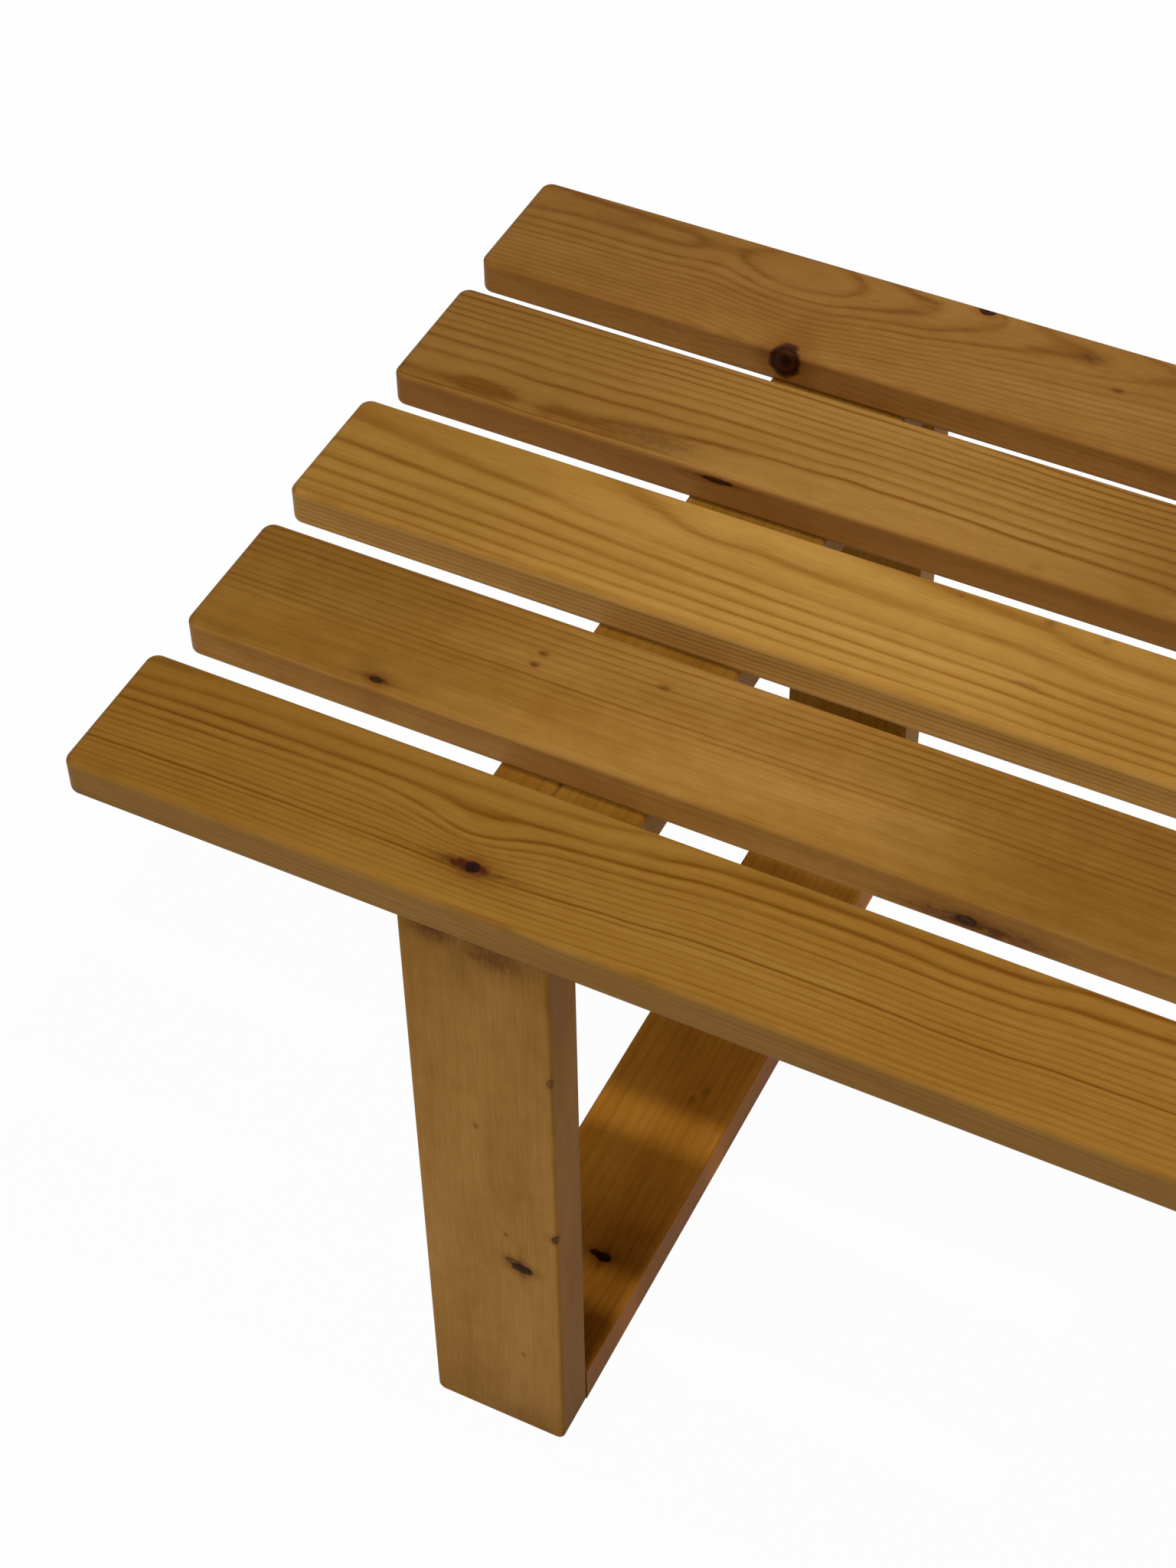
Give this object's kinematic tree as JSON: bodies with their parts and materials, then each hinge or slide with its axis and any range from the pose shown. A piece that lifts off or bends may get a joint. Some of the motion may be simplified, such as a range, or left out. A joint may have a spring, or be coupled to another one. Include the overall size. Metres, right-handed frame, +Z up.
{
  "type": "slatted pull-out bench bed",
  "caption": "Slatted lacquered pine bench on board loop legs; its deck is interleaved slat combs that slide apart lengthwise to make a bed.",
  "frame": {"origin": "on the floor under the middle of the closed bench", "axes": "+X along the slats towards the pull-out end, +Y from the front to the back, +Z up"},
  "size_m": [1.4, 0.535, 0.458],
  "materials": {
    "pine_slats": "honey satin lacquer",
    "pine_frame": "honey satin lacquer",
    "beech_pins": "bare beech",
    "steel_screws": "bright zinc plate"
  },
  "bodies": {
    "fixed_half": {"front_slat": "pine_slats", "middle_slat": "pine_slats", "back_slat": "pine_slats", "left_front_upright": "pine_frame", "left_back_upright": "pine_frame", "left_runner": "pine_frame", "left_rail": "pine_frame", "left_dowels": "beech_pins", "left_rail_screws": "steel_screws", "fixed_batten": "pine_frame", "fixed_batten_screws": "steel_screws", "fixed_batten_pegs": "beech_pins"},
    "pull_out_half": {"front_inner_slat": "pine_slats", "back_inner_slat": "pine_slats", "right_front_upright": "pine_frame", "right_back_upright": "pine_frame", "right_runner": "pine_frame", "right_rail": "pine_frame", "right_dowels": "beech_pins", "right_rail_screws": "steel_screws", "sliding_batten": "pine_frame", "sliding_batten_screws": "steel_screws", "sliding_batten_pegs": "beech_pins"}
  },
  "joints": [
    {"name": "pull_out", "type": "slide", "parent": "fixed_half", "child": "pull_out_half", "axis": [1, 0, 0], "range_m": [0, 0.6]}
  ]
}
